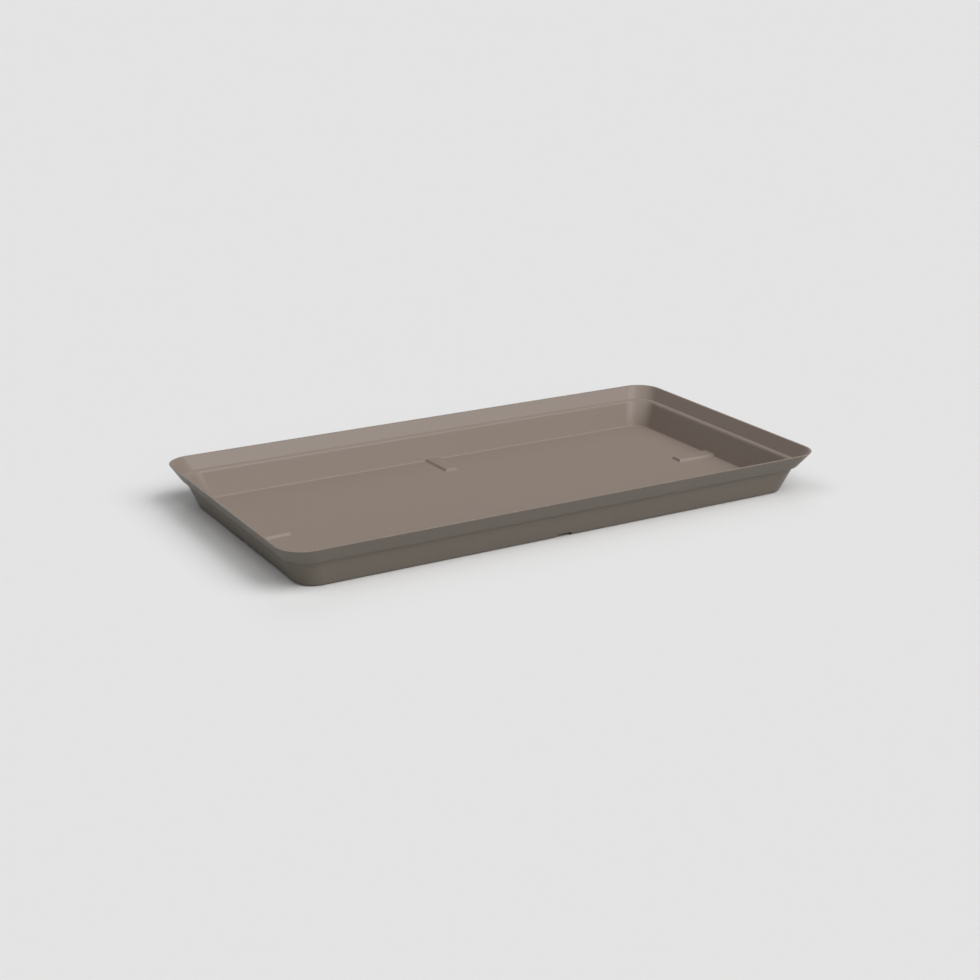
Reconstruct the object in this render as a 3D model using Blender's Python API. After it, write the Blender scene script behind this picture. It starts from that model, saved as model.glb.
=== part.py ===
# Rectangular plant saucer, one injection moulding of satin taupe plastic.
# Metres, +Z up. The origin is at the middle of the underside, on the plane that the saucer stands on.
# X runs along the long sides. An inset is a distance in from the rim's outer edge, seen from above.

import math

import bmesh
import bpy
from mathutils import Matrix, Vector

# Overall size, over the rim
saucer_length = 0.520
saucer_width = 0.276
saucer_height = 0.0387

# The walls, floor and pads have one thickness, the shelf is thicker, and the floor's upper face has its level
wall_thickness = 0.0018
shelf_thickness = 0.0024
floor_height = 0.0027

# Outside of the wall, from the rim down: a flared band, a sloping shelf and a drafted lower wall
band_height = 0.0136
band_lean = math.radians(32.0)
shelf_width = 0.0028
shelf_drop = 0.00125
lower_wall_draft = math.radians(22.3)

# Plan radii of the four corners, outside, which aren't parallel curves
rim_corner_radius = 0.0235
shelf_corner_radius = 0.0228
base_corner_radius = 0.0178

# Rounded edges of the wall's section
rim_edge_radius = 0.0002
inner_shelf_radius = 0.0002
shelf_edge_radius = 0.0021
shelf_foot_radius = 0.0023
base_edge_radius = 0.0028
floor_edge_radius = 0.0016

# Hollow pad at the middle of each side, which holds the pot clear of the water
pad_reach = 0.0600
pad_height = 0.0023
pad_wall_width = 0.0172
pad_tip_width = 0.0138
pad_side_slope = math.radians(39.0)
pad_tip_slope = math.radians(24.0)
pad_corner_radius = 0.0012
pad_edge_radius = 0.0006

# Channel under each pad, which runs out through the foot of the wall
channel_corner_radius = 0.0006
channel_overrun = 0.0090

# Underside: a flat foot runs round a shallow hollow, with the moulding's gate mark in the middle
foot_width = 0.0050
hollow_edge_radius = 0.0004
gate_dimple_radius = 0.0050
gate_dimple_depth = 0.0004
gate_nub_radius = 0.0010
gate_nub_height = 0.0003

# How far a cutter stands out of the plastic that it cuts, and a joined form reaches into it
tool_overlap = 0.0005

# Facets of the round stretches
corner_steps = 16
wide_arc_steps = 5
rim_arc_steps = 4
narrow_arc_steps = 3
gate_steps = 32

taupe = (0.242, 0.205, 0.171, 1.0)


def linear_between(low, high, share):
    return low + (high - low) * share


def outer_corners():
    """Sharp corners of the wall's outside, from the base up, as (inset, height)."""
    rim_angle = (math.pi / 2 - band_lean) / 2
    # The rounded rim's outermost point, not its sharp corner, has inset 0
    rim_edge = Vector((rim_edge_radius - rim_edge_radius / math.tan(rim_angle), saucer_height))
    shelf_edge = rim_edge + Vector((math.tan(band_lean), -1.0)) * band_height
    shelf_foot = shelf_edge + Vector((shelf_width, -shelf_drop))
    base_edge = shelf_foot + Vector((math.tan(lower_wall_draft), -1.0)) * shelf_foot.y
    return base_edge, shelf_foot, shelf_edge, rim_edge


def inward_line(start, end, thickness):
    """The line from start to end, moved into the plastic by a thickness."""
    along = (end - start).normalized()
    return start + Vector((along.y, -along.x)) * thickness, along


def crossing(line, other):
    """Where two endless lines of the section cross."""
    point, along = line
    other_point, other_along = other
    gap = other_point - point
    share = gap.cross(other_along) / along.cross(other_along)
    return point + along * share


def inner_corners():
    """Sharp corners of the wall's inside, from the floor up."""
    base_edge, shelf_foot, shelf_edge, rim_edge = outer_corners()
    level = Vector((1.0, 0.0))
    lines = (
        (Vector((0.0, floor_height)), level),
        inward_line(base_edge, shelf_foot, wall_thickness),
        inward_line(shelf_foot, shelf_edge, shelf_thickness),
        inward_line(shelf_edge, rim_edge, wall_thickness),
        (Vector((0.0, saucer_height)), level),
    )
    return [crossing(line, following) for line, following in zip(lines, lines[1:])]


def rounded(before, corner, after, radius, steps):
    """Points of the arc that rounds a corner of the section."""
    back = (before - corner).normalized()
    ahead = (after - corner).normalized()
    half_angle = back.angle(ahead) / 2
    middle = (back + ahead).normalized()
    centre = corner + middle * (radius / math.sin(half_angle))
    first = corner + back * (radius / math.tan(half_angle)) - centre
    last = corner + ahead * (radius / math.tan(half_angle)) - centre
    turn = first.angle_signed(last)
    points = []
    for step in range(steps + 1):
        spin = Matrix.Rotation(-turn * step / steps, 2)
        points.append(centre + spin @ first)
    return points


def wall_section():
    """The wall's section from the floor up the inside, over the rim and down the outside to the underside."""
    base_edge, shelf_foot, shelf_edge, rim_edge = outer_corners()
    floor_edge, inner_foot, inner_shelf, inner_rim = inner_corners()
    further_in = Vector((1.0, 0.0))
    corners = (
        (floor_edge, floor_edge_radius, wide_arc_steps),
        (inner_foot, shelf_foot_radius + wall_thickness, wide_arc_steps),
        (inner_shelf, inner_shelf_radius, narrow_arc_steps),
        (inner_rim, rim_edge_radius, narrow_arc_steps),
        (rim_edge, rim_edge_radius, rim_arc_steps),
        (shelf_edge, shelf_edge_radius, wide_arc_steps),
        (shelf_foot, shelf_foot_radius, wide_arc_steps),
        (base_edge, base_edge_radius, wide_arc_steps),
    )
    places = [floor_edge + further_in, *(place for place, _, _ in corners), base_edge + further_in]
    section = []
    for before, after, (corner, radius, steps) in zip(places, places[2:], corners):
        section.extend(rounded(before, corner, after, radius, steps))
    return section


def outer_wall_at(height):
    """Inset and plan radius of the sharp-cornered outside at a height."""
    base_edge, shelf_foot, shelf_edge, rim_edge = outer_corners()
    levels = (
        (base_edge, base_corner_radius),
        (shelf_foot, shelf_corner_radius),
        (shelf_edge, shelf_corner_radius),
        (rim_edge, rim_corner_radius),
    )
    for (low, low_radius), (high, high_radius) in zip(levels, levels[1:]):
        if height <= high.y:
            break
    share = (height - low.y) / (high.y - low.y)
    return linear_between(low.x, high.x, share), linear_between(low_radius, high_radius, share)


def corner_radius_at(inset, height):
    """Plan radius of a ring whose corners are concentric with the outside at the same height."""
    outer_inset, outer_radius = outer_wall_at(height)
    return outer_radius + outer_inset - inset


def add_ring(mesh, inset, height):
    """A rounded rectangle of vertices round the saucer."""
    radius = corner_radius_at(inset, height)
    centre_x = saucer_length / 2 - inset - radius
    centre_y = saucer_width / 2 - inset - radius
    ring = []
    for quarter, (side_x, side_y) in enumerate(((1, 1), (-1, 1), (-1, -1), (1, -1))):
        for step in range(corner_steps + 1):
            angle = (quarter + step / corner_steps) * math.pi / 2
            x = side_x * centre_x + radius * math.cos(angle)
            y = side_y * centre_y + radius * math.sin(angle)
            ring.append(mesh.verts.new((x, y, height)))
    return ring


def moulded_shell():
    """Floor and wall: the section lofted round the four corners, with the floor and underside filled in."""
    mesh = bmesh.new()
    rings = [add_ring(mesh, point.x, point.y) for point in wall_section()]
    for ring, following in zip(rings, rings[1:]):
        for place in range(len(ring)):
            beside = (place + 1) % len(ring)
            mesh.faces.new((ring[place], ring[beside], following[beside], following[place]))
    mesh.faces.new(rings[0])
    mesh.faces.new(rings[-1])
    bmesh.ops.recalc_face_normals(mesh, faces=mesh.faces)
    return mesh


def round_edges(mesh, edges, radius, steps):
    bmesh.ops.bevel(mesh, geom=edges, offset=radius, segments=steps, profile=0.5, affect="EDGES")


def pad_form(outer_inset, low, high, skin, corner_radius, edge_radius):
    """A pad's block, tapered and sloped, as deep as a skin below the pad's faces. Local +X points outward."""
    mesh = bmesh.new()
    tip_inset = pad_reach - skin / math.cos(pad_tip_slope)
    skin_width = skin / math.cos(pad_side_slope)
    wall_foot = inner_corners()[0].x
    for vertex in bmesh.ops.create_cube(mesh, size=2.0)["verts"]:
        at_tip = vertex.co.x < 0
        height = high if vertex.co.z > 0 else low
        rise = height - floor_height
        inset = tip_inset - rise * math.tan(pad_tip_slope) if at_tip else outer_inset
        share = (inset - wall_foot) / (pad_reach - wall_foot)
        half_width = linear_between(pad_wall_width, pad_tip_width, share) / 2
        half_width -= skin_width + rise * math.tan(pad_side_slope)
        vertex.co = (-inset, half_width * vertex.co.y, height)
    inner_end = -outer_inset - tool_overlap
    upright = [edge for edge in mesh.edges if all(end.co.x < inner_end for end in edge.verts)]
    upright = [edge for edge in upright if edge.verts[0].co.z != edge.verts[1].co.z]
    round_edges(mesh, upright, corner_radius, narrow_arc_steps)
    if edge_radius:
        middle_height = (low + high) / 2
        top = [edge for edge in mesh.edges if all(end.co.z > middle_height for end in edge.verts)]
        top = [edge for edge in top if any(end.co.x < inner_end for end in edge.verts)]
        round_edges(mesh, top, edge_radius, narrow_arc_steps)
    return mesh


def on_four_sides(form):
    """A form repeated at the middle of each side, measured in from the rim."""
    whole = bmesh.new()
    for quarter in range(4):
        half_span = (saucer_width if quarter % 2 else saucer_length) / 2
        placed = form.copy()
        placed.transform(Matrix.Rotation(quarter * math.pi / 2, 4, "Z") @ Matrix.Translation((half_span, 0.0, 0.0)))
        data = bpy.data.meshes.new("side_form")
        placed.to_mesh(data)
        placed.free()
        whole.from_mesh(data)
        bpy.data.meshes.remove(data)
    form.free()
    return whole


def pads():
    """The four pads, rooted in the floor and in the lower wall."""
    low = floor_height - tool_overlap
    high = floor_height + pad_height
    in_the_wall = (outer_wall_at(low)[0] + inner_wall_inset(high)) / 2
    return on_four_sides(pad_form(in_the_wall, low, high, 0.0, pad_corner_radius, pad_edge_radius))


def inner_wall_inset(height):
    """Inset of the lower wall's inside at a height."""
    floor_edge = inner_corners()[0]
    return floor_edge.x - (height - floor_edge.y) * math.tan(lower_wall_draft)


def channels():
    """The hollows of the four pads, open below and out through the foot of the wall."""
    high = floor_height + pad_height - wall_thickness
    outside = outer_wall_at(high)[0] - channel_overrun
    return on_four_sides(pad_form(outside, -tool_overlap, high, wall_thickness, channel_corner_radius, 0.0))


def underside_hollow():
    """The shallow hollow inside the foot."""
    mesh = bmesh.new()
    depth = floor_height - wall_thickness
    base_inset = outer_corners()[0].x
    base_angle = (math.pi / 2 + lower_wall_draft) / 2
    inset = base_inset + base_edge_radius / math.tan(base_angle) + foot_width
    block = bmesh.ops.create_cube(mesh, size=2.0)["verts"]
    for vertex in block:
        vertex.co.x *= saucer_length / 2 - inset
        vertex.co.y *= saucer_width / 2 - inset
        vertex.co.z = depth if vertex.co.z > 0 else -tool_overlap
    upright = [edge for edge in mesh.edges if edge.verts[0].co.z != edge.verts[1].co.z]
    round_edges(mesh, upright, corner_radius_at(inset, 0.0), corner_steps)
    top = [edge for edge in mesh.edges if all(end.co.z > 0 for end in edge.verts)]
    round_edges(mesh, top, hollow_edge_radius, narrow_arc_steps)
    return mesh


def upright_disc(radius, low, high):
    """A flat disc about the middle of the saucer."""
    mesh = bmesh.new()
    bmesh.ops.create_cone(
        mesh,
        cap_ends=True,
        segments=gate_steps,
        radius1=radius,
        radius2=radius,
        depth=high - low,
        matrix=Matrix.Translation((0.0, 0.0, (low + high) / 2)),
    )
    return mesh


def gate_dimple():
    """The round dimple in which the gate mark lies, below the underside's level."""
    roof = floor_height - wall_thickness
    return upright_disc(gate_dimple_radius, roof - tool_overlap, roof + gate_dimple_depth)


def gate_nub():
    """The stub of the gate, which stands in the dimple and not out of it."""
    root = floor_height - wall_thickness + gate_dimple_depth
    return upright_disc(gate_nub_radius, root - gate_nub_height, root + tool_overlap)


def as_object(name, mesh, collection):
    data = bpy.data.meshes.new(name)
    mesh.to_mesh(data)
    mesh.free()
    result = bpy.data.objects.new(name, data)
    collection.objects.link(result)
    return result


def new_collection(name):
    collection = bpy.data.collections.new(name)
    bpy.context.scene.collection.children.link(collection)
    return collection


def work_on(tray, operation, name, mesh, collection):
    """Join a form to the tray or cut it away, and keep the form beside it as a hidden outline."""
    form = as_object(name, mesh, collection)
    form.hide_render = True
    form.display_type = "WIRE"
    modifier = tray.modifiers.new(name, "BOOLEAN")
    modifier.operation = operation
    modifier.solver = "EXACT"
    modifier.object = form


def satin_plastic():
    material = bpy.data.materials.new("taupe_plastic")
    material.use_nodes = True
    shader = material.node_tree.nodes["Principled BSDF"]
    shader.inputs["Base Color"].default_value = taupe
    shader.inputs["Roughness"].default_value = 0.55
    shader.inputs["Metallic"].default_value = 0.0
    material.diffuse_color = taupe
    return material


def build():
    for existing in list(bpy.data.objects):
        bpy.data.objects.remove(existing)
    parts = new_collection("rectangular_plant_saucer")
    forms = new_collection("saucer_cutters")
    tray = as_object("saucer_tray", moulded_shell(), parts)
    tray.data.materials.append(satin_plastic())
    tray.data.shade_smooth()
    tray.data.set_sharp_from_angle(angle=math.radians(30.0))
    work_on(tray, "UNION", "pads", pads(), forms)
    work_on(tray, "DIFFERENCE", "pad_channels", channels(), forms)
    work_on(tray, "DIFFERENCE", "underside_hollow", underside_hollow(), forms)
    work_on(tray, "DIFFERENCE", "gate_dimple", gate_dimple(), forms)
    work_on(tray, "UNION", "gate_nub", gate_nub(), forms)


build()
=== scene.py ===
# A rectangular plant saucer in satin taupe plastic, on a pale studio floor.
# The tray is one moulding: its section is swept round the plan, and a hollow pad is pressed up on each side.

import math

import bpy
import bmesh
from mathutils import Matrix, Vector


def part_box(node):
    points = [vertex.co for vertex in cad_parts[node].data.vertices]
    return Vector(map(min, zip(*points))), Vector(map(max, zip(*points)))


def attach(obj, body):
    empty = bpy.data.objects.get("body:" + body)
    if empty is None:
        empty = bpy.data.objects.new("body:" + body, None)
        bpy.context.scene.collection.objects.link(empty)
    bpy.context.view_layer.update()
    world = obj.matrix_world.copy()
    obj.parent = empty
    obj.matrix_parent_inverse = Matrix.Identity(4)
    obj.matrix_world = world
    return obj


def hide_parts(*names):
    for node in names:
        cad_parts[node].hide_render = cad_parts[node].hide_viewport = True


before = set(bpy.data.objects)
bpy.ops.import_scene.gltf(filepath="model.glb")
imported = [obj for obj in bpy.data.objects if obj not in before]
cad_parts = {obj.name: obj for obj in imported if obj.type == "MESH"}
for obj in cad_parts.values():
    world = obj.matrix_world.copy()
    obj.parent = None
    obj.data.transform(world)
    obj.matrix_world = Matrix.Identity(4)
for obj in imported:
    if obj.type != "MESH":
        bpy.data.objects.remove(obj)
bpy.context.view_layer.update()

trayLow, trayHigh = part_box("saucer_tray")


def linearColour(hexColour, alpha=1.0):
    channels = []
    for start in (1, 3, 5):
        value = int(hexColour[start:start + 2], 16) / 255
        channels.append(value / 12.92 if value <= 0.04045 else ((value + 0.055) / 1.055) ** 2.4)
    return (*channels, alpha)


def addNode(tree, kind, settings=None, links=None):
    # A setting is a property of the node, or else the value of an input, by name or number
    node = tree.nodes.new(kind)
    for name, value in (settings or {}).items():
        if isinstance(name, str) and hasattr(node, name):
            setattr(node, name, value)
        else:
            node.inputs[name].default_value = value
    for name, source in (links or {}).items():
        tree.links.new(source, node.inputs[name])
    return node


# The tray's shape

tray = {
    "length": trayHigh.x - trayLow.x,
    "width": trayHigh.y - trayLow.y,
    "height": trayHigh.z - trayLow.z,
    "wall": 0.0018,
    "shelfWall": 0.0024,
    "floorHeight": 0.0027,
    "bandHeight": 0.0136,
    "bandLean": math.radians(32.0),
    "shelfWidth": 0.0028,
    "shelfDrop": 0.00125,
    "lowerDraft": math.radians(22.3),
    "rimCorner": 0.0235,  # plan radii, outside
    "shelfCorner": 0.0228,
    "baseCorner": 0.0178,
    "rimRound": 0.0002,  # rounded edges of the section
    "innerShelfRound": 0.0002,
    "shelfEdgeRound": 0.0021,
    "shelfFootRound": 0.0023,
    "baseRound": 0.0028,
    "floorRound": 0.0016,
    "footWidth": 0.0050,
    "footEdgeRound": 0.0002,
    "hollowRound": 0.0004,
    "dimpleRadius": 0.0050,
    "dimpleDepth": 0.0004,
    "nubRadius": 0.0010,
    "nubHeight": 0.0003,
    "openFloor": 0.0660,  # the floor inside this inset is flat all over
    "leastCorner": 0.0060,  # plan radius of the rings that lie in the flat floor
}

pads = {
    "reach": 0.0600,
    "height": 0.0023,
    "wallWidth": 0.0172,
    "tipWidth": 0.0138,
    "sideSlope": math.radians(39.0),
    "tipSlope": math.radians(24.0),
    "cornerBlend": 0.0012,
    "edgeBlend": 0.0008,
    "rootBlend": 0.0006,
}

wear = {
    "rimDepth": 0.0009,  # fades out at this depth below the rim
    "footDepth": 0.0008,  # and at this height above the ground
    "footInset": 0.0300,
}

meshing = {
    "fineStep": 0.0003,  # section and plan steps round the pads
    "fineCount": 20,  # fine steps across each side of a pad
    "sideMargin": 0.0013,  # how far they run on past its foot
    "stepsOut": (0.0010, 0.0040),  # and the wider steps after them
    "tipMargin": 0.0032,  # fine rings on both sides of a pad's tip
    "rootReach": 0.0240,  # fine rings where a pad meets the wall
    "rootHeights": (0.0015, 0.0062),
    "arcSteps": 8,
    "cornerSteps": 24,
    "support": 0.0004,  # a flat face has a strip of this width along each edge, so that it shades flat
    "noPad": 1.0,  # stands for the distance from a pad's middle where there is none
    "weldDistance": 1e-7,
    "sharpAngle": math.radians(50.0),
}


def outerCorners():
    # Sharp corners of the outside as (inset, height), from the rim down
    rimAngle = (math.pi / 2 - tray["bandLean"]) / 2
    rim = Vector((tray["rimRound"] * (1 - 1 / math.tan(rimAngle)), tray["height"]))
    shelfEdge = rim + Vector((math.tan(tray["bandLean"]), -1)) * tray["bandHeight"]
    shelfFoot = shelfEdge + Vector((tray["shelfWidth"], -tray["shelfDrop"]))
    base = shelfFoot + Vector((math.tan(tray["lowerDraft"]), -1)) * shelfFoot.y
    return rim, shelfEdge, shelfFoot, base


def crossing(line, other):
    (point, along), (otherPoint, otherAlong) = line, other
    return point + along * ((otherPoint - point).cross(otherAlong) / along.cross(otherAlong))


def innerCorners():
    # The outside moved in by the wall, and cut off at the floor and at the rim
    corners = outerCorners()
    level = Vector((1, 0))
    lines = [(Vector((0, tray["height"])), level)]
    for high, low, thickness in zip(corners, corners[1:], (tray["wall"], tray["shelfWall"], tray["wall"])):
        along = (low - high).normalized()
        lines.append((high + Vector((-along.y, along.x)) * thickness, along))
    lines.append((Vector((0, tray["floorHeight"])), level))
    return [crossing(line, following) for line, following in zip(lines, lines[1:])]


def outsideAt(height):
    # Inset and plan radius of the outside at a height
    rim, shelfEdge, shelfFoot, base = outerCorners()
    if height >= shelfEdge.y:
        low, high, radii = shelfEdge, rim, (tray["shelfCorner"], tray["rimCorner"])
    elif height >= shelfFoot.y:
        low, high, radii = shelfFoot, shelfEdge, (tray["shelfCorner"], tray["shelfCorner"])
    else:
        low, high, radii = base, shelfFoot, (tray["baseCorner"], tray["shelfCorner"])
    share = (height - low.y) / (high.y - low.y)
    return low.x + (high.x - low.x) * share, radii[0] + (radii[1] - radii[0]) * share


def arc(before, corner, after, radius, steps):
    back, ahead = (before - corner).normalized(), (after - corner).normalized()
    half = back.angle(ahead) / 2
    centre = corner + (back + ahead).normalized() * (radius / math.sin(half))
    first = corner + back * (radius / math.tan(half)) - centre
    last = corner + ahead * (radius / math.tan(half)) - centre
    turn = first.angle_signed(last)
    return [centre + Matrix.Rotation(-turn * step / steps, 2) @ first for step in range(steps + 1)]


def isFine(point):
    # Near a pad's tip, at its root in the wall, and where the rim is rubbed
    atRim = point.y > tray["height"] - wear["rimDepth"] - meshing["fineStep"]
    atTip = abs(point.x - pads["reach"]) < meshing["tipMargin"]
    low, high = meshing["rootHeights"]
    atRoot = point.x < meshing["rootReach"] and low < point.y < high
    return atRim or atTip or atRoot


def inSteps(points):
    # The same line, with short steps where they are needed
    line = [points[0]]
    for start, end in zip(points, points[1:]):
        count = max(1, math.ceil((end - start).length / meshing["fineStep"]))
        places = [start.lerp(end, step / count) for step in range(1, count)]
        line += [place for place in places if isFine(place)] + [end]
    return line


def supported(line):
    # The same line, with a point close to each end of a long straight
    points = [line[0]]
    for start, end in zip(line, line[1:]):
        strip = (end - start).normalized() * meshing["support"]
        if (end - start).length > 4 * meshing["support"]:
            points += [start + strip, end - strip]
        points.append(end)
    return points


def roundedLine(corners):
    # corners: (place, radius); the first and last are ends
    line = [corners[0][0]]
    for (before, _), (corner, radius), (after, _) in zip(corners, corners[1:], corners[2:]):
        line.extend(arc(before, corner, after, radius, meshing["arcSteps"]))
    line.append(corners[-1][0])
    return supported(line)


def traySection():
    # Rings from the middle of the floor up the inside, over the rim and down to the middle of the underside
    rim, shelfEdge, shelfFoot, base = outerCorners()
    innerRim, innerShelf, innerFoot, floorEdge = innerCorners()
    rimMiddle = (innerRim + rim) / 2
    hollowRoof = tray["floorHeight"] - tray["wall"]
    baseAngle = (math.pi / 2 + tray["lowerDraft"]) / 2
    footInset = base.x + tray["baseRound"] / math.tan(baseAngle) + tray["footWidth"]
    inside = roundedLine([
        (Vector((tray["openFloor"], tray["floorHeight"])), 0),
        (floorEdge, tray["floorRound"]),
        (innerFoot, tray["shelfFootRound"] + tray["wall"]),
        (innerShelf, tray["innerShelfRound"]),
        (innerRim, tray["rimRound"]),
        (rimMiddle, 0),
    ])
    outside = roundedLine([
        (rimMiddle, 0),
        (rim, tray["rimRound"]),
        (shelfEdge, tray["shelfEdgeRound"]),
        (shelfFoot, tray["shelfFootRound"]),
        (base, tray["baseRound"]),
        (Vector((footInset, 0)), tray["footEdgeRound"]),
        (Vector((footInset, hollowRoof)), tray["hollowRound"]),
        (Vector((tray["openFloor"], hollowRoof)), 0),
    ])
    rings = [{"place": Vector((tray["openFloor"], tray["floorHeight"])), "disc": 0.0, "outside": 0.0}]
    rings += [{"place": place, "disc": -1.0, "outside": 0.0} for place in inSteps(inside)]
    rings += [{"place": place, "disc": -1.0, "outside": 1.0} for place in inSteps(outside)[1:]]
    dimpleRoof = hollowRoof + tray["dimpleDepth"]
    nubEnd = dimpleRoof - tray["nubHeight"]
    gate = (
        (tray["dimpleRadius"] + meshing["support"], hollowRoof),
        (tray["dimpleRadius"], hollowRoof),
        (tray["dimpleRadius"] - tray["dimpleDepth"], dimpleRoof),
        (tray["nubRadius"], dimpleRoof),
        (tray["nubRadius"], nubEnd),
        (0.0, nubEnd),
    )
    rings += [{"place": Vector((tray["openFloor"], z)), "disc": radius, "outside": 1.0} for radius, z in gate]
    return rings


def wearAt(place):
    # Handling rubs the rim, and standing rubs the foot
    rimWear = max(0.0, 1 - (tray["height"] - place.y) / wear["rimDepth"])
    footWear = max(0.0, 1 - place.y / wear["footDepth"]) if place.x < wear["footInset"] else 0.0
    return max(rimWear, footWear)


def sectionLine():
    rings = traySection()
    mesh = bpy.data.meshes.new("sectionLine")
    places = [ring["place"] for ring in rings]
    edges = [(start, start + 1) for start in range(len(rings) - 1)]
    mesh.from_pydata([(place.x, 0.0, place.y) for place in places], edges, [])
    # Inside and outside share the centres of their corners, so the plan radius shrinks with the inset
    columns = {
        "planRadius": [max(tray["leastCorner"], sum(outsideAt(place.y)) - place.x) for place in places],
        "outside": [ring["outside"] for ring in rings],
        "disc": [ring["disc"] for ring in rings],
        "wear": [wearAt(place) for place in places],
    }
    for name, values in columns.items():
        mesh.attributes.new(name, "FLOAT", "POINT").data.foreach_set("value", values)
    return mesh


def acrossStations():
    # Places across a pad: close together over its sloped sides, further apart elsewhere
    first = pads["wallWidth"] / 2 + meshing["sideMargin"] - meshing["fineCount"] * meshing["fineStep"]
    half = [first / 2] + [first + step * meshing["fineStep"] for step in range(meshing["fineCount"] + 1)]
    half += [half[-1] + step for step in meshing["stepsOut"]]
    return [-place for place in reversed(half)] + [0.0] + half


def planLine():
    # One ring seen from above. A vertex is side * (half size - inset) + turn * radius + along + slide * taper
    stations = acrossStations()
    middle = len(stations) // 2
    tapered = stations[middle + 2]  # from here on, the places slide in as a pad narrows
    still = Vector((0, 0))
    places = []
    for quarter in range(4):
        out = Matrix.Rotation(quarter * math.pi / 2, 2) @ Vector((1, 0))
        beside = Vector((-out.y, out.x))
        for across in stations:
            along = beside * across
            slide = beside * math.copysign(1, across) if abs(across) >= tapered else still
            place = {"side": out, "turn": still, "along": along, "slide": slide, "across": abs(across)}
            places.append(place)
        corner = out + beside
        rounded = [(-beside, -beside * meshing["support"])]
        for step in range(meshing["cornerSteps"] + 1):
            angle = (quarter + step / meshing["cornerSteps"]) * math.pi / 2
            rounded.append((Vector((math.cos(angle), math.sin(angle))) - corner, still))
        rounded.append((-out, -out * meshing["support"]))
        for turn, along in rounded:
            place = {"side": corner, "turn": turn, "along": along, "slide": still, "across": meshing["noPad"]}
            places.append(place)
    for number, place in enumerate(places):
        angle = (number - middle) / len(places) * 2 * math.pi
        place["spoke"] = Vector((math.cos(angle), math.sin(angle)))

    mesh = bpy.data.meshes.new("planLine")
    edges = [(start, (start + 1) % len(places)) for start in range(len(places))]
    mesh.from_pydata([(*place["side"], 0.0) for place in places], edges, [])
    for name in ("side", "turn", "along", "slide", "spoke"):
        flat = [number for place in places for number in (*place[name], 0.0)]
        mesh.attributes.new(name, "FLOAT_VECTOR", "POINT").data.foreach_set("vector", flat)
    distances = [place["across"] for place in places]
    mesh.attributes.new("across", "FLOAT", "POINT").data.foreach_set("value", distances)
    return mesh


def sampledRows(tree, section, plan, index, columns, placeCount):
    # What each vertex of the grid takes from its ring of the section and from its place in the plan
    links = {0: index, 1: columns}
    ring = addNode(tree, "FunctionNodeIntegerMath", {"operation": "DIVIDE_FLOOR"}, links).outputs[0]
    column = addNode(tree, "FunctionNodeIntegerMath", {"operation": "MODULO"}, links).outputs[0]
    links = {0: column, 1: placeCount}
    place = addNode(tree, "FunctionNodeIntegerMath", {"operation": "MODULO"}, links).outputs[0]
    readings = [(name, "FLOAT", section, ring) for name in ("planRadius", "outside", "disc", "wear")]
    readings += [(name, "FLOAT_VECTOR", plan, place) for name in ("side", "turn", "along", "slide", "spoke")]
    readings += [("across", "FLOAT", plan, place)]
    read = {}
    for name, kind, source, row in readings:
        value = addNode(tree, "GeometryNodeInputNamedAttribute", {"data_type": kind, "Name": name}).outputs[0]
        links = {"Geometry": source, "Value": value, "Index": row}
        read[name] = addNode(tree, "GeometryNodeSampleIndex", {"data_type": kind}, links).outputs[0]
    position = addNode(tree, "GeometryNodeInputPosition").outputs[0]
    links = {"Geometry": section, "Value": position, "Index": ring}
    ringPlace = addNode(tree, "GeometryNodeSampleIndex", {"data_type": "FLOAT_VECTOR"}, links).outputs[0]
    split = addNode(tree, "ShaderNodeSeparateXYZ", {}, {0: ringPlace}).outputs
    return {**read, "inset": split["X"], "height": split["Z"]}


def flatPlace(tree, given, read, taper):
    # Place of each vertex seen from above
    links = {"X": given["Half Length"], "Y": given["Half Width"]}
    halfSize = addNode(tree, "ShaderNodeCombineXYZ", {}, links).outputs[0]
    links = {0: halfSize, 1: read["inset"]}
    flat = addNode(tree, "ShaderNodeVectorMath", {"operation": "SUBTRACT"}, links).outputs[0]
    for links in (
        {0: read["side"], 1: flat, 2: read["along"]},
        {0: read["turn"], 1: read["planRadius"]},
        {0: read["slide"], 1: taper},
    ):
        links = {2: flat, **links}
        flat = addNode(tree, "ShaderNodeVectorMath", {"operation": "MULTIPLY_ADD"}, links).outputs[0]
    links = {0: read["spoke"], "Scale": read["disc"]}
    onDisc = addNode(tree, "ShaderNodeVectorMath", {"operation": "SCALE"}, links).outputs[0]
    isDisc = addNode(tree, "FunctionNodeCompare", {"operation": "GREATER_EQUAL", 1: 0.0}, {0: read["disc"]})
    links = {"Switch": isDisc.outputs[0], "False": flat, "True": onDisc}
    return addNode(tree, "GeometryNodeSwitch", {"input_type": "VECTOR"}, links).outputs[0]


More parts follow.
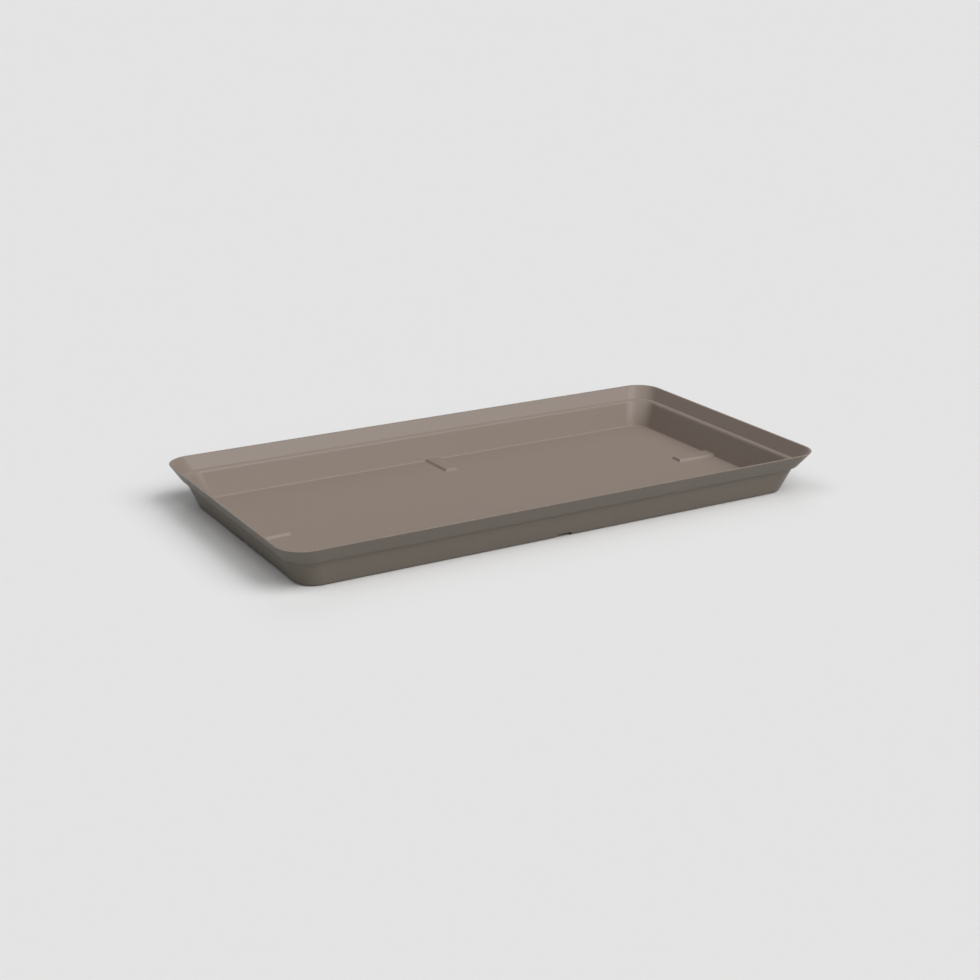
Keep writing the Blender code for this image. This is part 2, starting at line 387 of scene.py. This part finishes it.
def raisedHeight(tree, given, read, halfWidth, taper):
    # Height of each vertex with the pads pressed up; the underside lies a wall's thickness inside the skin
    slid = addNode(tree, "ShaderNodeVectorMath", {"operation": "LENGTH"}, {0: read["slide"]}).outputs["Value"]
    links = {0: slid, 1: taper, 2: read["across"]}
    across = addNode(tree, "ShaderNodeMath", {"operation": "MULTIPLY_ADD"}, links).outputs[0]
    rises = []
    for limit, skin, place, steepness in (
        (halfWidth, "Skin Across", across, "Side Steepness"),
        (given["Pad Reach"], "Skin At Tip", read["inset"], "Tip Steepness"),
    ):
        within = addNode(tree, "ShaderNodeMath", {"operation": "SUBTRACT"}, {0: limit, 1: place}).outputs[0]
        links = {0: read["outside"], 1: given[skin]}
        shrink = addNode(tree, "ShaderNodeMath", {"operation": "MULTIPLY"}, links).outputs[0]
        within = addNode(tree, "ShaderNodeMath", {"operation": "SUBTRACT"}, {0: within, 1: shrink}).outputs[0]
        links = {0: within, 1: given[steepness]}
        rises.append(addNode(tree, "ShaderNodeMath", {"operation": "MULTIPLY"}, links).outputs[0])
    links = {0: read["outside"], 1: given["Wall"]}
    shrink = addNode(tree, "ShaderNodeMath", {"operation": "MULTIPLY"}, links).outputs[0]
    links = {0: given["Pad Height"], 1: shrink}
    top = addNode(tree, "ShaderNodeMath", {"operation": "SUBTRACT"}, links).outputs[0]
    links = {0: rises[0], 1: rises[1], 2: given["Corner Blend"]}
    rise = addNode(tree, "ShaderNodeMath", {"operation": "SMOOTH_MIN"}, links).outputs[0]
    links = {0: rise, 1: top, 2: given["Edge Blend"]}
    rise = addNode(tree, "ShaderNodeMath", {"operation": "SMOOTH_MIN"}, links).outputs[0]
    links = {0: rise, 1: given["Floor Height"]}
    padLevel = addNode(tree, "ShaderNodeMath", {"operation": "ADD"}, links).outputs[0]
    links = {0: read["height"], 1: padLevel, 2: given["Root Blend"]}
    return addNode(tree, "ShaderNodeMath", {"operation": "SMOOTH_MAX"}, links).outputs[0]


def mouldingTree(inputs):
    # Sweeps the section round the plan, and presses the pads up from below
    tree = bpy.data.node_groups.new("sweptMoulding", "GeometryNodeTree")
    tree.interface.new_socket("Geometry", in_out="INPUT", socket_type="NodeSocketGeometry")
    for name, (kind, _) in inputs.items():
        tree.interface.new_socket(name, in_out="INPUT", socket_type=kind)
    tree.interface.new_socket("Geometry", in_out="OUTPUT", socket_type="NodeSocketGeometry")
    given = addNode(tree, "NodeGroupInput").outputs
    index = addNode(tree, "GeometryNodeInputIndex").outputs[0]
    section = given["Geometry"]
    plan = addNode(tree, "GeometryNodeObjectInfo", {}, {"Object": given["Plan"]}).outputs["Geometry"]

    # A grid with a row for each ring, and a column for each place round the plan with the first one again
    ringCount = addNode(tree, "GeometryNodeAttributeDomainSize", {}, {0: section}).outputs["Point Count"]
    placeCount = addNode(tree, "GeometryNodeAttributeDomainSize", {}, {0: plan}).outputs["Point Count"]
    columns = addNode(tree, "FunctionNodeIntegerMath", {"operation": "ADD", 1: 1}, {0: placeCount}).outputs[0]
    links = {"Vertices X": ringCount, "Vertices Y": columns}
    grid = addNode(tree, "GeometryNodeMeshGrid", {}, links).outputs[0]
    read = sampledRows(tree, section, plan, index, columns, placeCount)

    # A pad's half width narrows from the wall to its tip
    links = {"Value": read["inset"], "From Min": given["Wall Foot"], "From Max": given["Pad Reach"],
             "To Min": given["Half Width At Wall"], "To Max": given["Half Width At Tip"]}
    halfWidth = addNode(tree, "ShaderNodeMapRange", {"clamp": True}, links).outputs[0]
    links = {0: halfWidth, 1: given["Half Width At Wall"]}
    taper = addNode(tree, "ShaderNodeMath", {"operation": "SUBTRACT"}, links).outputs[0]

    flat = flatPlace(tree, given, read, taper)
    raised = raisedHeight(tree, given, read, halfWidth, taper)
    upward = addNode(tree, "ShaderNodeCombineXYZ", {}, {"Z": raised}).outputs[0]
    whole = addNode(tree, "ShaderNodeVectorMath", {"operation": "ADD"}, {0: flat, 1: upward}).outputs[0]
    placed = addNode(tree, "GeometryNodeSetPosition", {}, {"Geometry": grid, "Position": whole}).outputs[0]

    # Where the plastic is rubbed goes on before the weld, which renumbers the grid, and how level it is after
    settings = {"data_type": "FLOAT", "Name": "edgeWear"}
    links = {"Geometry": placed, "Value": read["wear"]}
    worn = addNode(tree, "GeometryNodeStoreNamedAttribute", settings, links).outputs[0]
    links = {"Geometry": worn, "Distance": given["Weld Distance"]}
    welded = addNode(tree, "GeometryNodeMergeByDistance", {}, links).outputs[0]
    normal = addNode(tree, "GeometryNodeInputNormal").outputs[0]
    upright = addNode(tree, "ShaderNodeSeparateXYZ", {}, {0: normal}).outputs["Z"]
    levelShare = addNode(tree, "ShaderNodeMath", {"operation": "ABSOLUTE"}, {0: upright}).outputs[0]
    settings = {"data_type": "FLOAT", "Name": "levelShare"}
    links = {"Geometry": welded, "Value": levelShare}
    marked = addNode(tree, "GeometryNodeStoreNamedAttribute", settings, links).outputs[0]

    realized = addNode(tree, "GeometryNodeRealizeInstances", {}, {0: marked}).outputs[0]
    links = {"Geometry": realized, "Material": given["Material"]}
    finished = addNode(tree, "GeometryNodeSetMaterial", {}, links).outputs[0]
    addNode(tree, "NodeGroupOutput", {}, {"Geometry": finished})
    return tree


def makeTray(material):
    print("tray: sweeping the wall section")
    plan = bpy.data.objects.new("planLine", planLine())
    bpy.context.scene.collection.objects.link(plan)
    source = bpy.data.objects.new("trayLoft", sectionLine())
    bpy.context.scene.collection.objects.link(source)
    inputs = {
        "Plan": ("NodeSocketObject", plan),
        "Half Length": ("NodeSocketFloat", tray["length"] / 2),
        "Half Width": ("NodeSocketFloat", tray["width"] / 2),
        "Floor Height": ("NodeSocketFloat", tray["floorHeight"]),
        "Wall": ("NodeSocketFloat", tray["wall"]),
        "Wall Foot": ("NodeSocketFloat", innerCorners()[-1].x),
        "Pad Reach": ("NodeSocketFloat", pads["reach"]),
        "Pad Height": ("NodeSocketFloat", pads["height"]),
        "Half Width At Wall": ("NodeSocketFloat", pads["wallWidth"] / 2),
        "Half Width At Tip": ("NodeSocketFloat", pads["tipWidth"] / 2),
        "Side Steepness": ("NodeSocketFloat", 1 / math.tan(pads["sideSlope"])),
        "Tip Steepness": ("NodeSocketFloat", 1 / math.tan(pads["tipSlope"])),
        "Skin Across": ("NodeSocketFloat", tray["wall"] / math.cos(pads["sideSlope"])),
        "Skin At Tip": ("NodeSocketFloat", tray["wall"] / math.cos(pads["tipSlope"])),
        "Corner Blend": ("NodeSocketFloat", pads["cornerBlend"]),
        "Edge Blend": ("NodeSocketFloat", pads["edgeBlend"]),
        "Root Blend": ("NodeSocketFloat", pads["rootBlend"]),
        "Weld Distance": ("NodeSocketFloat", meshing["weldDistance"]),
        "Material": ("NodeSocketMaterial", material),
    }
    tree = mouldingTree(inputs)
    modifier = source.modifiers.new("sweptMoulding", "NODES")
    modifier.node_group = tree
    for socket in tree.interface.items_tree:
        if socket.in_out == "INPUT" and socket.name in inputs:
            modifier[socket.identifier] = inputs[socket.name][1]
    bpy.context.view_layer.update()
    evaluated = source.evaluated_get(bpy.context.evaluated_depsgraph_get())
    mesh = bpy.data.meshes.new_from_object(evaluated)
    mesh.name = "saucerTray"
    bpy.data.objects.remove(source)
    bpy.data.objects.remove(plan)

    shell = bmesh.new()
    shell.from_mesh(mesh)
    bmesh.ops.recalc_face_normals(shell, faces=shell.faces)
    openEdges = sum(1 for edge in shell.edges if len(edge.link_faces) != 2)
    volume = shell.calc_volume() * 1e6
    print(f"tray: {len(shell.faces)} faces, {openEdges} open edges, volume {volume:.1f} cubic cm")
    shell.to_mesh(mesh)
    shell.free()
    mesh.shade_smooth()
    mesh.set_sharp_from_angle(angle=meshing["sharpAngle"])
    piece = bpy.data.objects.new("saucerTray", mesh)
    bpy.context.scene.collection.objects.link(piece)
    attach(piece, "root")
    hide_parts("saucer_tray")
    return piece


# The plastic

plastic = {
    "colour": "#82766D",
    "rubbedColour": "#A0958B",
    "toneShift": 0.008,  # share by which the pigment's tone drifts
    "toneScale": 0.07,  # metres from one cloud of tone to the next
    "ior": 1.49,
    "shine": 0.22,
    "wallRoughness": 0.35,
    "floorRoughness": 0.75,
    "steepShare": 0.90,  # upright part of the normal, below which a face is as smooth as the walls
    "levelShare": 0.99,
    "roughnessShift": 0.03,
    "grainSize": 0.0009,  # eroded mould grain of 0.15 mm, drawn coarser so that it shows
    "grainDepth": 0.00001,
    "flowCount": 14.0,  # faint streaks that fan out from the gate
    "flowShift": 0.003,
    "patchScale": 260.0,  # rubbed patches per metre, along the rim and the foot
    "patchLimits": (0.5, 0.75),  # between these values of the noise a patch fades in
    "rubbedShare": 0.5,
    "sheenScale": 90.0,  # clouds of roughness per metre
    "cloudDetail": 3.0,
    "streakDetail": 2.0,
    "patchDetail": 4.0,
}


def mouldedPolypropylene():
    # Polypropylene from a spark-eroded mould: a soft sheen, no clear reflection, and a faint grain up close
    material = bpy.data.materials.new("mouldedPolypropylene")
    material.use_nodes = True
    tree = material.node_tree
    shader = tree.nodes["Principled BSDF"]
    shader.inputs["IOR"].default_value = plastic["ior"]
    shader.inputs["Specular IOR Level"].default_value = plastic["shine"]
    place = addNode(tree, "ShaderNodeTexCoord").outputs["Object"]

    # The pigment's tone drifts in clouds
    clouds = addNode(tree, "ShaderNodeTexNoise",
                     {"Scale": 1 / plastic["toneScale"], "Detail": plastic["cloudDetail"]}, {"Vector": place})
    red, green, blue, _ = linearColour(plastic["colour"])
    darker, lighter = 1 - plastic["toneShift"], 1 + plastic["toneShift"]
    tones = {6: (red * darker, green * darker, blue * darker, 1.0),
             7: (red * lighter, green * lighter, blue * lighter, 1.0)}
    tone = addNode(tree, "ShaderNodeMix", {"data_type": "RGBA", **tones}, {0: clouds.outputs[0]})

    # Faint streaks fan out from the gate
    split = addNode(tree, "ShaderNodeSeparateXYZ", {}, {0: place})
    bearing = addNode(tree, "ShaderNodeMath", {"operation": "ARCTAN2"},
                      {0: split.outputs["Y"], 1: split.outputs["X"]})
    distance = addNode(tree, "ShaderNodeVectorMath", {"operation": "LENGTH"}, {0: place})
    fan = addNode(tree, "ShaderNodeCombineXYZ", {}, {"X": bearing.outputs[0], "Y": distance.outputs["Value"]})
    streaks = addNode(tree, "ShaderNodeTexNoise",
                      {"Scale": plastic["flowCount"], "Detail": plastic["streakDetail"]},
                      {"Vector": fan.outputs[0]})
    flow = addNode(tree, "ShaderNodeMapRange",
                   {"To Min": 1 - plastic["flowShift"], "To Max": 1 + plastic["flowShift"]},
                   {"Value": streaks.outputs[0]})
    streaked = addNode(tree, "ShaderNodeVectorMath", {"operation": "SCALE"},
                       {0: tone.outputs[2], "Scale": flow.outputs[0]})

    # Rubbed paler in patches along the rim and the foot
    edgeWear = addNode(tree, "ShaderNodeAttribute", {"attribute_name": "edgeWear"}).outputs["Fac"]
    patches = addNode(tree, "ShaderNodeTexNoise",
                      {"Scale": plastic["patchScale"], "Detail": plastic["patchDetail"]}, {"Vector": place})
    least, most = plastic["patchLimits"]
    rubbed = addNode(tree, "ShaderNodeMapRange",
                     {"From Min": least, "From Max": most, "To Max": plastic["rubbedShare"]},
                     {"Value": patches.outputs[0]})
    rubbed = addNode(tree, "ShaderNodeMath", {"operation": "MULTIPLY"}, {0: rubbed.outputs[0], 1: edgeWear})
    coloured = addNode(tree, "ShaderNodeMix",
                       {"data_type": "RGBA", 7: linearColour(plastic["rubbedColour"])},
                       {0: rubbed.outputs[0], 6: streaked.outputs[0]})
    tree.links.new(coloured.outputs[2], shader.inputs["Base Color"])

    # The walls and the pads' sides are drawn off smoother steel than the level faces
    level = addNode(tree, "ShaderNodeAttribute", {"attribute_name": "levelShare"}).outputs["Fac"]
    limits = {"From Min": plastic["steepShare"], "From Max": plastic["levelShare"],
              "To Min": plastic["wallRoughness"], "To Max": plastic["floorRoughness"]}
    finish = addNode(tree, "ShaderNodeMapRange", limits, {"Value": level})
    sheen = addNode(tree, "ShaderNodeTexNoise",
                    {"Scale": plastic["sheenScale"], "Detail": plastic["cloudDetail"]}, {"Vector": place})
    drift = addNode(tree, "ShaderNodeMapRange",
                    {"To Min": -plastic["roughnessShift"], "To Max": plastic["roughnessShift"]},
                    {"Value": sheen.outputs[0]})
    links = {0: finish.outputs[0], 1: drift.outputs[0]}
    roughness = addNode(tree, "ShaderNodeMath", {"operation": "ADD"}, links)
    tree.links.new(roughness.outputs[0], shader.inputs["Roughness"])

    grain = addNode(tree, "ShaderNodeTexNoise",
                    {"Scale": 1 / plastic["grainSize"], "Detail": plastic["streakDetail"]}, {"Vector": place})
    bump = addNode(tree, "ShaderNodeBump", {"Distance": plastic["grainDepth"]}, {"Height": grain.outputs[0]})
    tree.links.new(bump.outputs[0], shader.inputs["Normal"])
    return material


# Studio

studio = {
    "paperTone": "#E3E3E3",
    "bounceTone": "#A6AFAC",  # what the paper throws back on the tray
    "paperRoughness": 0.9,
    "floorSize": 60.0,
    "suns": [
        {"name": "sideLight", "bearing": -60.0, "height": 45.0, "spread": 40.0, "strength": 1.73},
        {"name": "keyLight", "bearing": -90.0, "height": 60.0, "spread": 40.0, "strength": 1.06},
        {"name": "leftLight", "bearing": 180.0, "height": 60.0, "spread": 40.0, "strength": 0.69},
        {"name": "lowLight", "bearing": -105.0, "height": 15.0, "spread": 45.0, "strength": 0.12},
        {"name": "backLight", "bearing": 60.0, "height": 45.0, "spread": 40.0, "strength": 0.31},
        {"name": "cornerLight", "bearing": -102.0, "height": 25.0, "spread": 26.0, "strength": 0.40},
    ],
}


def seenRay(tree):
    # 1 for what the camera, a reflection or a clear surface shows, 0 for the light that falls on the tray
    rays = addNode(tree, "ShaderNodeLightPath").outputs
    links = {0: rays["Is Camera Ray"], 1: rays["Is Glossy Ray"]}
    seen = addNode(tree, "ShaderNodeMath", {"operation": "MAXIMUM"}, links).outputs[0]
    links = {0: seen, 1: rays["Is Transmission Ray"]}
    return addNode(tree, "ShaderNodeMath", {"operation": "MAXIMUM"}, links).outputs[0]


def mattPaper():
    # Uncoated studio paper, with no shine of its own
    material = bpy.data.materials.new("mattPaper")
    material.use_nodes = True
    tree = material.node_tree
    shader = tree.nodes["Principled BSDF"]
    shader.inputs["Roughness"].default_value = studio["paperRoughness"]
    shader.inputs["Specular IOR Level"].default_value = 0.0
    tones = {6: linearColour(studio["bounceTone"]), 7: linearColour(studio["paperTone"])}
    tone = addNode(tree, "ShaderNodeMix", {"data_type": "RGBA", **tones}, {0: seenRay(tree)})
    tree.links.new(tone.outputs[2], shader.inputs["Base Color"])
    return material


def makeStudio():
    print("studio: floor, backdrop and lamps")
    mesh = bpy.data.meshes.new("studioFloor")
    sheet = bmesh.new()
    bmesh.ops.create_grid(sheet, x_segments=1, y_segments=1, size=studio["floorSize"] / 2)
    sheet.to_mesh(mesh)
    sheet.free()
    mesh.materials.append(mattPaper())
    floor = bpy.data.objects.new("studioFloor", mesh)
    bpy.context.scene.collection.objects.link(floor)

    world = bpy.data.worlds.new("studioSky")
    bpy.context.scene.world = world
    world.use_nodes = True
    tree = world.node_tree
    background = tree.nodes["Background"]
    background.inputs["Color"].default_value = linearColour(studio["paperTone"])
    tree.links.new(seenRay(tree), background.inputs["Strength"])

    for settings in studio["suns"]:
        lamp = bpy.data.lights.new(settings["name"], "SUN")
        lamp.energy = settings["strength"]
        lamp.angle = math.radians(settings["spread"])
        light = bpy.data.objects.new(settings["name"], lamp)
        bpy.context.scene.collection.objects.link(light)
        bearing, rise = math.radians(settings["bearing"]), math.radians(settings["height"])
        level = math.cos(rise)
        toward = Vector((math.cos(bearing) * level, math.sin(bearing) * level, math.sin(rise)))
        light.rotation_euler = toward.to_track_quat("Z", "Y").to_euler()


view = {
    "place": Vector((-0.7304, -1.2603, 0.5009)),
    "tilt": math.radians(90 - 18.737),
    "bearing": math.radians(-29.953),
    "lens": 63.06,
    "sensor": 36.0,
}


def makeCamera():
    camera = bpy.data.objects.new("camera", bpy.data.cameras.new("camera"))
    bpy.context.scene.collection.objects.link(camera)
    camera.location = view["place"]
    camera.rotation_euler = (view["tilt"], 0.0, view["bearing"])
    camera.data.lens = view["lens"]
    camera.data.sensor_width = view["sensor"]
    camera.data.clip_end = studio["floorSize"]
    bpy.context.scene.camera = camera


bpy.context.scene.view_settings.view_transform = "Standard"
makeStudio()
makeCamera()
makeTray(mouldedPolypropylene())
print("scene: done")
